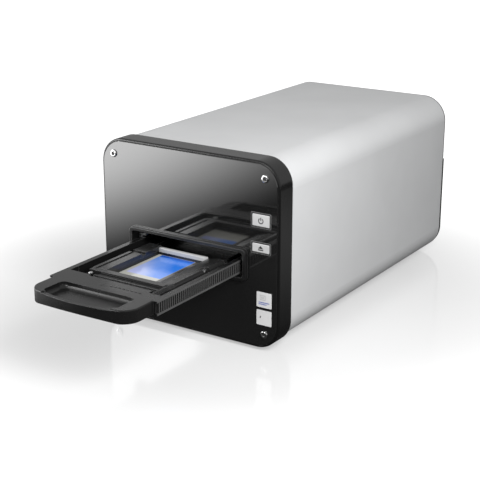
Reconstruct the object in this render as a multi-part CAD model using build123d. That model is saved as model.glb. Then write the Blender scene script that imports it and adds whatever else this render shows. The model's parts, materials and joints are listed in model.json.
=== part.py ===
from build123d import *
import math
import os

# A desktop film negative scanner with its film holder drawn half way out.
# Panel frame, in millimetres: x from the centre line, y behind the face of the front plate,
# z above the lower edge of the bezel. place() moves a part from there to where it stands,
# with the floor at z = 0 and the middle of the whole object over the origin.

# Casing
case_width = 210.0
case_height = 186.0
case_depth = 374.0
foot_height = 3.0
bezel_depth = 22.8
bezel_radius = 26.0
rim_width = 2.5
rim_set_back = 0.8
plate_thickness = 3.0
front_wall = 2.5
sleeve_inset = 1.0
sleeve_wall = 2.0
sleeve_radius = 28.0
port_inset = 4.0
tongue_length = 7.2
fit_gap = 0.2
seat_gap = 0.02
rear_flange = 2.2
rear_skirt = 10.0
connector_step = 3.8
connector_top = 112.0

# Slot in the front
slot_half = 66.3
slot_low = 69.5
slot_high = 95.0
collar_face = 3.6
collar_proud = 4.0
collar_depth = 8.2

# Buttons, labels and plate screws on the right of the front plate
button_x = 84.7
button_width = 18.8
power_z = 129.2
power_height = 11.6
eject_z = 102.1
eject_height = 8.4
button_proud = 0.6
button_travel = 1.5
button_gap = 0.35
switch_tip = 14.1
frame_wall = 1.0
frame_depth = 8.0
label_x = 88.6
label_width = 16.6
label_heights = {"upper_label": (50.8, 15.4), "lower_label": (32.6, 15.2)}
label_thickness = 0.3
screw_x = 89.0
screw_heights = (15.5, 170.0)
screw_head = 3.9
screw_shank = 2.0

# Film holder
holder_half = 61.5
holder_low = 72.5
holder_top = 86.0
rack_start = -131.0
holder_end = 118.0
rail_width = 5.5
tray_floor = 76.0
film_level = 77.2
gate_half = 28.0
gate_front = -90.0
gate_back = -9.0
seat_half = 31.8
handle_half = 57.3
handle_reach = 172.0
handle_low = 73.4
scoop_half = 42.0
scoop_back = -135.0
scoop_depth = 6.2

# Cover of the film holder, hinged along its right side
cover_half = 43.0
cover_front = -96.5
cover_back = -5.2
cover_low = 81.5
cover_top = 84.8
hinge_x = 47.0
hinge_z = 82.8
barrel_radius = 3.2
cover_front_top = 85.6
cover_ridge = (-39.6, 86.2)
cover_band_top = 85.9
cover_ear = (-31.0, 85.7)
cover_notch = (-37.0, 83.4)
knuckles = ((-98.1, -43.0), (-33.6, -9.8))
magnet_radius = 2.5
magnet_top = 83.0
clamp_low = 77.7
clamp_half = 31.0
bar_low = 80.4
bar_top = 84.4
bar_lap = 0.5
hinge_pin_radius = 1.5
running_gap = 0.05

# Drive: a rack on the holder, a double gear and a motor pinion, all of module one
module = 1.0
pressure_angle = math.radians(20.0)
rack_addendum = 0.9
tooth_root = 1.2
backlash = 0.16
pinion_teeth = 18
wheel_teeth = 36
motor_teeth = 12
wheel_addendum = 0.75
drive_y = 42.0
motor_turn = math.radians(55.0)
gear_play = 0.06

# Frame inside the case
base_low = 5.4
base_top = 6.9
base_half = 73.0
wall_inner = 62.6
wall_outer = 64.8
frame_front = 8.5
frame_back = 252.0
scan_y = 18.0
optic_z = 38.0

front_y = (handle_reach - case_depth) / 2
pitch_line = holder_half - rack_addendum
pinion_radius = module * pinion_teeth / 2
wheel_radius = module * wheel_teeth / 2
motor_radius = module * motor_teeth / 2
drive_x = pitch_line + pinion_radius + gear_play
gear_spacing = wheel_radius + motor_radius + gear_play
motor_x = drive_x + gear_spacing * math.cos(motor_turn)
motor_y = drive_y + gear_spacing * math.sin(motor_turn)
sleeve_half = case_width / 2 - sleeve_inset
sleeve_back = case_depth - connector_step - rear_flange
inner_half = sleeve_half - sleeve_wall
inner_low = sleeve_inset + sleeve_wall
inner_high = case_height - inner_low
port_reach = (sleeve_radius - sleeve_wall - port_inset) * math.sqrt(0.5)
port_offset = inner_half - sleeve_radius + sleeve_wall + port_reach
port_low = inner_low + inner_half - port_offset
port_points = [(side * port_offset, case_height / 2 + up * (case_height / 2 - port_low))
               for side in (-1, 1) for up in (-1, 1)]


def block(x0, x1, y0, y1, z0, z1):
    return Pos((x0 + x1) / 2, (y0 + y1) / 2, (z0 + z1) / 2) * Box(x1 - x0, y1 - y0, z1 - z0)


def rod_y(x, z, radius, y0, y1):
    return Pos(x, (y0 + y1) / 2, z) * Rot(90, 0, 0) * Cylinder(radius, y1 - y0)


def rod_z(x, y, radius, z0, z1):
    return Pos(x, y, (z0 + z1) / 2) * Cylinder(radius, z1 - z0)


def slab_y(half, z0, z1, radius, y0, y1, x=0.0):
    """A prism along y with rounded corners, centred on x."""
    outline = Pos(x, (z0 + z1) / 2) * RectangleRounded(2 * half, z1 - z0, radius)
    return extrude(Plane.XZ.offset(-y1) * outline, amount=y1 - y0)


def prism_y(points, y0, y1):
    """A prism along y over an outline of (x, z) points."""
    return extrude(Plane.XZ.offset(-y1) * Polygon(*points, align=None), amount=y1 - y0)


def prism_x(points, x0, x1):
    """A prism along x over an outline of (y, z) points."""
    return extrude(Plane.YZ.offset(x0) * Polygon(*points, align=None), amount=x1 - x0)


def case_slab(inset, radius, y0, y1):
    """The casing's outline drawn in by inset, as a prism along y."""
    return slab_y(case_width / 2 - inset, inset, case_height - inset, radius, y0, y1)


def front_edges(solid):
    return solid.faces().sort_by(Axis.Y)[0].edges()


def back_edges(solid):
    return solid.faces().sort_by(Axis.Y)[-1].edges()


def both_sides(solid):
    return solid + mirror(solid, about=Plane.YZ)


def frame_outline(centre_z, height, y0, y1):
    half = button_width / 2 + button_gap + frame_wall
    rise = height / 2 + button_gap + frame_wall
    return slab_y(half, centre_z - rise, centre_z + rise, 1.2, y0, y1, button_x)


def front_cut(y0, y1):
    """What passes through the front plate and the bezel's wall: collar and button frames."""
    slot = slab_y(slot_half + 1.8, slot_low - 1.8, slot_high + 1.8, 4.0, y0, y1)
    power = frame_outline(power_z, power_height, y0, y1)
    eject = frame_outline(eject_z, eject_height, y0, y1)
    return slot + power + eject


def screw_points():
    return [(side * screw_x, z) for side in (-1, 1) for z in screw_heights]


def front_bezel():
    wall_back = plate_thickness + front_wall
    body = case_slab(0, bezel_radius, rim_set_back, bezel_depth)
    body = fillet(front_edges(body), 2.0)
    recess = rim_width - 0.15
    body -= case_slab(recess, bezel_radius - recess, 0, plate_thickness)
    body -= case_slab(3.0, bezel_radius - 3.0, wall_back, 14.0)
    tongue = inner_low + fit_gap
    tongue_end = bezel_depth + tongue_length
    tongue_ring = case_slab(tongue, bezel_radius - 0.2, bezel_depth - 1.0, tongue_end)
    body += tongue_ring
    body -= case_slab(tongue + 2.0, bezel_radius - 2.2, 14.0, tongue_end)
    for x, z in screw_points():
        body += rod_y(x, z, 4.5, wall_back - 0.5, 16.0)
    for x in (button_x - 9.7, button_x + 11.3):
        body += rod_y(x, 114.0, 3.0, wall_back - 0.5, 18.5)
    body -= front_cut(plate_thickness, wall_back)
    for x, z in screw_points():
        body -= rod_y(x, z, screw_shank + seat_gap, 0, 15.0)
    return body


def front_plate():
    plate = case_slab(rim_width, bezel_radius - rim_width, 0, plate_thickness)
    plate = chamfer(front_edges(plate), 0.6)
    plate -= front_cut(0, plate_thickness)
    for x, z in screw_points():
        plate -= rod_y(x, z, screw_shank + fit_gap, 0, plate_thickness)
    return plate


def slot_collar():
    face = slab_y(slot_half + collar_face, slot_low - collar_face, slot_high + collar_face, 5.0,
                  -collar_proud, 0)
    face = fillet(front_edges(face), 1.2)
    tunnel = slab_y(slot_half + 1.8, slot_low - 1.8, slot_high + 1.8, 4.0, 0, collar_depth)
    mouth = slab_y(slot_half, slot_low, slot_high, 3.0, -collar_proud, collar_depth)
    return face + tunnel - mouth


def socket_screw(x, z):
    head = rod_y(x, z, screw_head, -1.5, 0)
    head = fillet(front_edges(head), 0.9)
    socket = extrude(Plane.XZ.offset(0.3) * Pos(x, z) * RegularPolygon(1.9, 6), amount=1.5)
    return head + rod_y(x, z, screw_shank, 0, 14.0) - socket


def plate_screws():
    return Compound([socket_screw(x, z) for x, z in screw_points()])


def button_frame(centre_z, height):
    body = frame_outline(centre_z, height, -0.4, frame_depth)
    half = button_width / 2 + button_gap
    rise = height / 2 + button_gap
    return body - slab_y(half, centre_z - rise, centre_z + rise, 0.9, -0.4, frame_depth, button_x)


def button(centre_z, height):
    cap = slab_y(button_width / 2, centre_z - height / 2, centre_z + height / 2, 0.8,
                 -button_proud, 9.3, button_x)
    cap = fillet(front_edges(cap), 0.5)
    flange = button_width / 2 + 1.1
    rise = height / 2 + 1.1
    cap += block(button_x - flange, button_x + flange, 8.2, 9.3, centre_z - rise, centre_z + rise)
    return cap + rod_y(button_x, centre_z, 1.6, 9.3, switch_tip - button_travel - 0.4)


def label(name):
    centre_z, height = label_heights[name]
    return slab_y(label_width / 2, centre_z - height / 2, centre_z + height / 2, 0.8,
                  -label_thickness, 0, label_x)


def button_board():
    return block(button_x - 13.4, button_x + 14.0, 18.5, 20.1, 92.0, 138.0)


def button_switches():
    bodies = []
    for z in (power_z, eject_z):
        body = block(button_x - 3, button_x + 3, 15.0, 18.5, z - 3, z + 3)
        bodies.append(body + rod_y(button_x, z, 1.5, switch_tip, 15.0))
    return Compound(bodies)


def outer_sleeve():
    tube = case_slab(sleeve_inset, sleeve_radius, bezel_depth, sleeve_back)
    tube -= case_slab(inner_low, sleeve_radius - sleeve_wall, bezel_depth, sleeve_back)
    for x, z in port_points:
        tube += rod_y(x, z, 4.6, 31.0, sleeve_back - rear_skirt - 1.0)
    tube &= case_slab(sleeve_inset, sleeve_radius, bezel_depth, sleeve_back)
    for x, z in port_points:
        tube -= rod_y(x, z, 1.6, 31.0, sleeve_back)
    for x, y in foot_points():
        tube -= rod_z(x, y, 1.8, 0, inner_low + 1)
    return tube


def foot_points():
    return [(side * 66.0, y) for side in (-1, 1) for y in (50.0, 330.0)]


def rubber_feet():
    feet = []
    for x, y in foot_points():
        foot = Pos(x, y, (sleeve_inset - foot_height) / 2) * Cone(8.4, 9.4, sleeve_inset + foot_height)
        foot -= rod_z(x, y, 3.2, -foot_height, -0.4)
        feet.append(foot - rod_z(x, y, 1.6, -0.4, sleeve_inset))
    return Compound(feet)


def foot_screws():
    screws = []
    for x, y in foot_points():
        screws.append(rod_z(x, y, 3.0, -2.2, -0.4) + rod_z(x, y, 1.6, -0.4, base_top))
    return Compound(screws)


def socket_cut(y0, y1):
    """Openings for the two rear sockets."""
    usb = block(-36.2, -23.8, y0, y1, 15.4, 26.8)
    power = block(14.8, 25.2, y0, y1, 15.4, 26.8)
    return usb + power


def rear_cover():
    flange_end = sleeve_back + rear_flange
    body = case_slab(sleeve_inset, sleeve_radius, sleeve_back, flange_end)
    body = fillet(back_edges(body), 0.8)
    skirt = inner_low + fit_gap
    body += case_slab(skirt, sleeve_radius - sleeve_wall - fit_gap, sleeve_back - rear_skirt, sleeve_back)
    body -= case_slab(skirt + 2.5, sleeve_radius - sleeve_wall - fit_gap - 2.5,
                      sleeve_back - rear_skirt, sleeve_back)
    for row in range(5):
        z = 134.0 + 8.0 * row
        for side in (-1, 1):
            body -= slab_y(24.0, z - 1.5, z + 1.5, 1.45, sleeve_back, flange_end, side * 30.0)
    body -= socket_cut(sleeve_back, flange_end)
    for x, z in port_points:
        body -= rod_y(x, z, 1.6, sleeve_back, flange_end)
        body -= rod_y(x, z, 2.0, sleeve_back - rear_skirt, sleeve_back)
    return body


def connector_panel():
    flange_end = sleeve_back + rear_flange
    body = case_slab(sleeve_inset + 0.5, sleeve_radius - 0.5, flange_end, case_depth)
    body &= block(-case_width, case_width, flange_end, case_depth, 0, connector_top)
    body = fillet(back_edges(body), 1.2)
    body -= socket_cut(flange_end, case_depth)
    for x, z in port_points:
        if z < connector_top:
            body -= rod_y(x, z, 4.2, flange_end, case_depth)
    return body


def rear_screws():
    flange_end = sleeve_back + rear_flange
    screws = []
    for x, z in port_points:
        head = fillet(back_edges(rod_y(x, z, 3.6, flange_end, flange_end + 2.0)), 0.7)
        head -= block(x - 2.2, x + 2.2, flange_end + 1.2, flange_end + 2.0, z - 0.5, z + 0.5)
        head -= block(x - 0.5, x + 0.5, flange_end + 1.2, flange_end + 2.0, z - 2.2, z + 2.2)
        screws.append(head + rod_y(x, z, 1.6, flange_end - 24.0, flange_end))
    return Compound(screws)


def usb_socket():
    shell = block(-36.0, -24.0, 352.0, case_depth - 0.6, 15.6, 26.6)
    return shell - block(-34.2, -25.8, case_depth - 10.0, case_depth - 0.6, 17.2, 25.0)


def dc_jack():
    body = block(15.0, 25.0, 352.0, case_depth - 0.6, 15.6, 26.6)
    body -= rod_y(20.0, 21.1, 3.2, case_depth - 10.0, case_depth - 0.6)
    return body + rod_y(20.0, 21.1, 1.05, case_depth - 10.5, case_depth - 2.0)


def chassis_base():
    plate = block(-base_half, base_half, frame_front, 356.0, base_low, base_top)
    skid = block(base_half - 2.0, base_half, 31.0, 356.0, inner_low, base_low)
    plate += both_sides(skid)
    for x, y in foot_points():
        plate -= rod_z(x, y, 1.6 + seat_gap, base_low, base_top)
    return plate


def guide_frame(geared):
    """The right-hand side wall that the holder's rail runs on; the left one is its mirror image."""
    wall = block(wall_inner, wall_outer, frame_front, frame_back, base_top, 88.8)
    wall += block(wall_inner, base_half, 90.0, frame_back, base_top, base_top + 1.5)
    wall += block(54.0, wall_inner, frame_front, frame_back, holder_low - 2.1, holder_low - 0.1)
    wall += block(58.0, wall_inner, frame_front, frame_back, holder_top + 1.0, 88.8)
    if geared:
        reach = wheel_radius + 3.0
        wall -= block(wall_inner - 0.6, wall_outer, drive_y - reach, drive_y + reach + 2, 59.5, holder_top + 0.9)
        return wall
    return mirror(wall, about=Plane.YZ)


def light_bracket():
    upright = block(66.0, 68.4, frame_front + 0.2, 20.7, base_top, 115.0)
    bar = block(-68.4, 68.4, frame_front + 0.2, 26.0, 112.0, 115.0)
    return both_sides(upright) + bar


def light_housing():
    body = block(-52.0, 52.0, 9.5, 26.5, 94.0, 112.0)
    return body - block(-48.0, 48.0, 12.0, 24.0, 94.0, 108.0)


def led_board():
    return block(-46.0, 46.0, 12.5, 23.5, 106.4, 108.0)


def led_chips():
    count = 12
    chips = []
    for index in range(count):
        x = -38.5 + 77.0 * index / (count - 1)
        chips.append(block(x - 1.75, x + 1.75, scan_y - 1.75, scan_y + 1.75, 105.2, 106.4))
    return Compound(chips)


def light_diffuser():
    return block(-48.0, 48.0, 12.0, 24.0, 94.0, 95.5)


def slit_plate():
    plate = block(-wall_inner, wall_inner, 9.0, 20.2, 66.0, 67.2)
    return plate - block(-32.0, 32.0, scan_y - 1.0, scan_y + 1.0, 66.0, 67.2)


def mirror_bracket():
    cheek = prism_x([(9.0, base_top), (44.0, base_top), (44.0, 16.0), (24.0, 54.0), (9.0, 54.0)], 39.0, 41.0)
    return both_sides(cheek) + block(-41.0, 41.0, 9.0, 44.0, base_top, base_top + 2.0)


def fold_mirror():
    glass = Box(78.0, 24.0, 3.0)
    set_back = 1.5 * math.sqrt(0.5)
    return Pos(0, scan_y - set_back, optic_z - set_back) * Rot(-45, 0, 0) * glass


def lens_barrel():
    barrel = rod_y(0, optic_z, 16.0, 100.0, 146.0)
    barrel += rod_y(0, optic_z, 18.0, 134.0, 144.0)
    return barrel - rod_y(0, optic_z, 12.5, 100.0, 146.0)


def lens_elements():
    elements = []
    for y in (106.0, 139.0):
        ball_front = Pos(0, y + 28.0, optic_z) * Sphere(31.0)
        ball_back = Pos(0, y - 28.0, optic_z) * Sphere(31.0)
        elements.append(rod_y(0, optic_z, 12.5 - seat_gap, y - 3.0, y + 3.0) & ball_front & ball_back)
    return Compound(elements)


def lens_clamp():
    body = block(-21.0, 21.0, 110.0, 130.0, base_top, 57.5)
    body += block(-32.0, 32.0, 110.0, 130.0, base_top, base_top + 3.0)
    return body - rod_y(0, optic_z, 16.0 + seat_gap, 110.0, 130.0)


def sensor_board():
    return block(-42.0, 42.0, 190.0, 191.6, 12.0, 64.0)


def image_sensor():
    return block(-33.0, 33.0, 185.5, 190.0, optic_z - 5.0, optic_z + 5.0)


def sensor_bracket():
    body = block(-42.0, 42.0, 193.6, 195.6, base_top, 66.0)
    body += block(-42.0, 42.0, 195.6, 218.0, base_top, base_top + 2.0)
    for x in (-37.0, 37.0):
        for z in (17.0, 59.0):
            body += rod_y(x, z, 2.5, 191.6, 193.6)
    return body


def heat_sink():
    body = block(-30.0, 30.0, 195.6, 198.6, 20.0, 60.0)
    for index in range(9):
        x = -29.25 + 58.5 * index / 8
        body += block(x - 0.75, x + 0.75, 198.6, 212.0, 20.0, 60.0)
    return body


def main_board():
    return block(-60.0, 60.0, 240.0, 360.0, 14.0, 15.6)


def board_standoffs():
    low = base_top + seat_gap
    posts = [rod_z(x, y, 3.0, low, 14.0 - seat_gap) for x in (-54.0, 54.0) for y in (246.0, 350.0)]
    return Compound(posts)


def board_chips():
    processor = block(-12.0, 12.0, 285.0, 309.0, 15.6, 17.8)
    memory = [block(x, x + 12.0, 290.0, 304.0, 15.6, 16.9) for x in (18.0, -30.0)]
    return Compound([processor] + memory)


def capacitors():
    return Compound([rod_z(46.0, y, 5.0, 15.6 + seat_gap, 28.0) for y in (262.0, 276.0, 290.0)])


def sensor_cable():
    """A flat cable from the top of the sensor board, over the heat sink and down to the main board."""
    runs = [(189.4, 190.0, 56.0, 70.6), (189.4, 226.0, 70.0, 70.6), (225.4, 226.0, 18.0, 70.6),
            (225.4, 244.6, 18.0, 18.6), (244.0, 244.6, 15.6, 18.6)]
    cable = block(-12.0, 12.0, *runs[0])
    for run in runs[1:]:
        cable += block(-12.0, 12.0, *run)
    return cable


def holder_sensor():
    body = block(-74.0, -wall_outer, 120.0, 132.0, 76.0, 84.0)
    return body - block(-72.0, -68.0, 120.0, 132.0, 78.0, 84.0)


def gear_points(teeth, addendum, turn):
    """The outline of a spur gear with involute flanks; turn is the angle of one tooth's middle."""
    pitch = module * teeth / 2
    base = pitch * math.cos(pressure_angle)
    root = pitch - tooth_root * module
    tip = pitch + addendum * module
    low = max(base, root + 0.05)
    flank = [low + (tip - low) * step / 5 for step in range(6)]
    spread = math.pi / (2 * teeth) - backlash / (4 * pitch) + math.tan(pressure_angle) - pressure_angle

    def half_angle(radius):
        swing = math.acos(base / radius)
        return spread - math.tan(swing) + swing

    points = []
    for tooth in range(teeth):
        middle = turn + 2 * math.pi * tooth / teeth
        rising = [(root, middle - half_angle(low))] + [(r, middle - half_angle(r)) for r in flank]
        falling = [(r, 2 * middle - angle) for r, angle in reversed(rising)]
        points += [(r * math.cos(a), r * math.sin(a)) for r, a in rising + falling]
    return points


def gear(teeth, addendum, turn, x, y, z0, z1):
    outline = Polygon(*gear_points(teeth, addendum, turn), align=None)
    return Pos(x, y, z0) * extrude(outline, amount=z1 - z0)


def drive_gear():
    body = gear(pinion_teeth, rack_addendum, math.pi + math.pi / pinion_teeth, drive_x, drive_y, 74.8, 83.5)
    body += rod_z(drive_x, drive_y, 5.5, 66.5, 75.0)
    body += gear(wheel_teeth, wheel_addendum, motor_turn, drive_x, drive_y, 62.0, 67.0)
    return body - rod_z(drive_x, drive_y, 2.0 + running_gap, 61.0, 84.0)


def drive_shaft():
    return rod_z(drive_x, drive_y, 4.6, base_top, 61.7) + rod_z(drive_x, drive_y, 2.0, 61.7, 85.6)


def shaft_clip():
    return rod_z(drive_x, drive_y, 4.0, 84.0, 84.8) - rod_z(drive_x, drive_y, 2.0, 84.0, 84.8)


def motor_pinion():
    turn = motor_turn + math.pi + math.pi / motor_teeth
    body = gear(motor_teeth, wheel_addendum, turn, motor_x, motor_y, 61.5, 67.5)
    return body - rod_z(motor_x, motor_y, 2.0, 61.5, 67.5)


def motor_shaft():
    return rod_z(motor_x, motor_y, 2.0, 40.6, 69.0)


def stepper_motor():
    half = 14.0
    body = block(motor_x - half, motor_x + half, motor_y - half, motor_y + half, 20.0, 50.0)
    body = chamfer(body.edges().filter_by(Axis.Z), 3.0)
    body += rod_z(motor_x, motor_y, 11.0, 50.0, 52.0)
    return body - rod_z(motor_x, motor_y, 2.0 + running_gap, 40.0, 52.0)


def motor_bracket():
    shelf = block(wall_outer, motor_x + 14.0, motor_y - 16.0, motor_y + 18.0, 50.0, 52.0)
    shelf += block(wall_outer, wall_outer + 2.0, motor_y - 4.0, motor_y + 18.0, 26.0, 50.0)
    shelf -= rod_z(motor_x, motor_y, 11.0 + seat_gap, 50.0, 52.0)
    return shelf - rod_z(drive_x, drive_y, 5.4, 50.0, 52.0)


def rack_points():
    """The toothed edge of the right-hand rail, seen from above."""
    tip = holder_half
    root = pitch_line - tooth_root
    half = math.pi * module / 4 - backlash / 4
    tip_half = half - rack_addendum * math.tan(pressure_angle)
    root_half = half + tooth_root * math.tan(pressure_angle)
    pitch = math.pi * module
    first = math.ceil((rack_start + 1.6 - drive_y) / pitch)
    last = math.floor((holder_end - 1.6 - drive_y) / pitch)
    points = [(root - 1.0, rack_start), (root, rack_start)]
    for index in range(first, last + 1):
        y = drive_y + index * pitch
        points += [(root, y - root_half), (tip, y - tip_half), (tip, y + tip_half), (root, y + root_half)]
    return points + [(root, holder_end), (root - 1.0, holder_end)]


def holder_rail():
    root = pitch_line - tooth_root
    inner = holder_half - rail_width
    rail = block(inner, root, rack_start, holder_end, holder_low, holder_top)
    rail += block(root - 0.5, holder_half, rack_start, holder_end, 84.2, holder_top)
    rail += block(root - 0.5, holder_half, rack_start, holder_end, holder_low, 74.3)
    rack = extrude(Plane.XY.offset(74.0) * Polygon(*rack_points(), align=None), amount=10.4)
    return rail + rack


def handle():
    corner = (45.0, -166.3)
    side = (handle_half, -150.4)
    left = [(-handle_half, side[1]), (-corner[0], corner[1])]
    outline = Polyline(left[0], (-handle_half, rack_start + 2), (handle_half, rack_start + 2), side)
    outline += TangentArc(side, corner, tangent=(0, -1))
    outline += ThreePointArc(corner, (0, -handle_reach), left[1])
    outline += TangentArc(left[0], left[1], tangent=(0, -1))
    body = extrude(Plane.XY.offset(handle_low) * make_face(outline), amount=holder_top - handle_low)
    rounded = [edge for edge in body.edges() if edge.center().Y < rack_start and edge.center().Z > 85.9]
    body = fillet(ShapeList(rounded), 1.2)
    arch = 408.0
    return body - rod_y(0, 76.0 - arch, arch, -180.0, -140.0)


def finger_scoop():
    back = scoop_back
    front = -162.6
    outline = Polyline((-scoop_half, front), (-scoop_half, back), (scoop_half, back), (scoop_half, front))
    outline += ThreePointArc((scoop_half, front), (0, -168.6), (-scoop_half, front))
    face = make_face(outline)
    face = fillet(face.vertices(), 6.0)
    body = extrude(Plane.XY.offset(holder_top - scoop_depth) * face, amount=scoop_depth + 2)
    return fillet(body.faces().sort_by(Axis.Z)[0].edges(), 4.0)


def hinge_lug(y0, y1, radius=barrel_radius):
    lug = block(cover_half, hinge_x + 4.0, y0, y1, tray_floor - 0.5, hinge_z)
    return lug + rod_y(hinge_x, hinge_z, radius, y0, y1)


def holder_tray():
    inner = holder_half - rail_width + 0.2
    deck_back = -97.3
    tray = block(-inner, inner, rack_start, holder_end, holder_low, tray_floor)
    tray += both_sides(holder_rail())
    tray += block(-cover_half, cover_half - 0.5, deck_back, cover_back + 3.0, tray_floor - 0.5, 81.3)
    tray += block(-inner, inner, rack_start, deck_back, tray_floor - 0.5, holder_top)
    tray += handle()
    tray -= block(-31.0, 42.0, -112.0, deck_back, 83.2, holder_top + 1)
    tray += block(-30.5, 42.0, -105.2, -103.6, 83.0, 84.6)
    tray -= block(-inner, -31.0, -109.0, deck_back, 80.0, holder_top + 1)
    tray -= block(42.0, inner, -117.5, deck_back, tray_floor, holder_top + 1)
    tray -= block(-seat_half, seat_half, gate_front - 2.5, cover_back + 0.4, film_level, 82.0)
    tray -= block(-gate_half, gate_half, gate_front, gate_back, holder_low, 82.0)
    tray -= finger_scoop()
    tray -= block(-40.0, 40.0, -174.0, -164.0, 85.0, holder_top + 1)
    tray += hinge_lug(-117.3, -98.5, barrel_radius + 0.3)
    tray += hinge_lug(-38.6, -34.0)
    tray += hinge_lug(-9.4, cover_back)
    for x in (-43.0, 41.0):
        tray += block(x, x + 2.0, 2.0, holder_end, tray_floor - 0.5, 81.3)
    for y in (36.0, 74.0, holder_end - 2.0):
        tray += block(-43.0, 43.0, y, y + 2.0, tray_floor - 0.5, 81.3)
    tray -= rod_y(hinge_x, hinge_z, hinge_pin_radius, -110.0, cover_back)
    for x, y in magnet_points():
        tray -= rod_z(x, y, 2.5, 79.8, 81.3)
    for x, y in dowel_points():
        tray -= rod_z(x, y, 2.2 + seat_gap, 78.0, 86.5)
    return tray


def magnet_points():
    return [(-37.0, y) for y in (-84.0, -20.0)]


def dowel_points():
    return [(-37.0, -102.5)]


def hinge_pin():
    return rod_y(hinge_x, hinge_z, hinge_pin_radius, -110.0, cover_back)


def tray_magnets():
    return Compound([rod_z(x, y, 2.5, 79.8, 81.3) for x, y in magnet_points()])


def locating_post():
    posts = []
    for x, y in dowel_points():
        post = rod_z(x, y, 2.2, 78.0, 85.4)
        posts.append(fillet(post.edges().sort_by(Axis.Z)[-1], 0.7))
    return Compound(posts)


def film_strip():
    return block(-30.75, 30.75, gate_front - 2.0, gate_back + 2.6, film_level, film_level + 0.3)


def cover_frame():
    edge = cover_half - 0.5
    above = cover_top + 2.0
    ridge_x, ridge_top = cover_ridge
    ear_y, ear_top = cover_ear
    notch_y, notch_top = cover_notch
    body = block(-cover_half, edge, cover_front, cover_back, cover_low, cover_top)
    body += block(-cover_half, edge, cover_front, gate_front, cover_low, cover_front_top)
    body -= block(-gate_half, gate_half, gate_front, cover_back, cover_low, above)
    body += block(-cover_half, ridge_x, gate_front - 2.0, notch_y, cover_top - 0.5, ridge_top)
    body += block(-37.0, -gate_half, gate_front - 0.5, notch_y, cover_top - 0.5, cover_band_top)
    body += block(-cover_half, -gate_half, ear_y, cover_back, cover_top - 0.5, ear_top)
    body -= block(-cover_half, -gate_half, notch_y, ear_y, notch_top, above)
    inner = gate_half - 1.0
    slope = [(gate_half, 82.6), (39.0, cover_top + 0.1), (39.0, above), (inner, above), (inner, 82.6)]
    body -= prism_y(slope, gate_front + 0.5, cover_back)
    for y0, y1 in knuckles:
        body += block(edge - 0.5, hinge_x, max(y0, cover_front), y1, cover_low, cover_top)
        body += rod_y(hinge_x, hinge_z, barrel_radius, y0, y1)
    for x, y in magnet_points():
        body -= rod_z(x, y, magnet_radius, cover_low, magnet_top)
    return body - rod_y(hinge_x, hinge_z, hinge_pin_radius + running_gap, knuckles[0][0] - 1, cover_back)


def clamp_frame():
    body = block(-clamp_half, clamp_half, gate_front - 2.0, cover_back - 0.8, clamp_low, cover_low)
    body -= block(-gate_half, gate_half, gate_front, gate_back, clamp_low, cover_low)
    return body - block(-gate_half, gate_half, gate_back - bar_lap, cover_back, bar_low, cover_low)


def rear_clamp_bar():
    bar = block(-gate_half, gate_half, gate_back - bar_lap, cover_back, bar_low, bar_top)
    return chamfer(bar.edges().filter_by(Axis.X).sort_by(Axis.Z)[-2:], 0.5)


def cover_magnets():
    return Compound([rod_z(x, y, magnet_radius, cover_low, magnet_top) for x, y in magnet_points()])


def place(shape):
    return Pos(0, front_y, foot_height) * shape


parts = {
    "front_bezel": front_bezel(),
    "front_plate": front_plate(),
    "slot_collar": slot_collar(),
    "plate_screws": plate_screws(),
    "power_button_frame": button_frame(power_z, power_height),
    "eject_button_frame": button_frame(eject_z, eject_height),
    "power_button": button(power_z, power_height),
    "eject_button": button(eject_z, eject_height),
    "upper_label": label("upper_label"),
    "lower_label": label("lower_label"),
    "button_board": button_board(),
    "button_switches": button_switches(),
    "outer_sleeve": outer_sleeve(),
    "rubber_feet": rubber_feet(),
    "foot_screws": foot_screws(),
    "rear_cover": rear_cover(),
    "connector_panel": connector_panel(),
    "rear_screws": rear_screws(),
    "usb_socket": usb_socket(),
    "dc_jack": dc_jack(),
    "chassis_base": chassis_base(),
    "left_guide_frame": guide_frame(False),
    "right_guide_frame": guide_frame(True),
    "light_bracket": light_bracket(),
    "light_housing": light_housing(),
    "led_board": led_board(),
    "led_chips": led_chips(),
    "light_diffuser": light_diffuser(),
    "slit_plate": slit_plate(),
    "mirror_bracket": mirror_bracket(),
    "fold_mirror": fold_mirror(),
    "lens_barrel": lens_barrel(),
    "lens_elements": lens_elements(),
    "lens_clamp": lens_clamp(),
    "sensor_board": sensor_board(),
    "image_sensor": image_sensor(),
    "sensor_bracket": sensor_bracket(),
    "heat_sink": heat_sink(),
    "sensor_cable": sensor_cable(),
    "main_board": main_board(),
    "board_standoffs": board_standoffs(),
    "board_chips": board_chips(),
    "capacitors": capacitors(),
    "holder_sensor": holder_sensor(),
    "drive_gear": drive_gear(),
    "drive_shaft": drive_shaft(),
    "shaft_clip": shaft_clip(),
    "motor_pinion": motor_pinion(),
    "motor_shaft": motor_shaft(),
    "stepper_motor": stepper_motor(),
    "motor_bracket": motor_bracket(),
    "holder_tray": holder_tray(),
    "hinge_pin": hinge_pin(),
    "tray_magnets": tray_magnets(),
    "locating_post": locating_post(),
    "film_strip": film_strip(),
    "cover_frame": cover_frame(),
    "clamp_frame": clamp_frame(),
    "rear_clamp_bar": rear_clamp_bar(),
    "cover_magnets": cover_magnets(),
}

os.makedirs("parts", exist_ok=True)
for name, shape in parts.items():
    export_step(place(shape), "parts/" + name + ".step")
print("drive gear axis", round(drive_x, 3), round(drive_y + front_y, 3))
print("motor axis", round(motor_x, 3), round(motor_y + front_y, 3))
print(len(parts), "nodes")
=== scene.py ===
import json
import math

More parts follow.
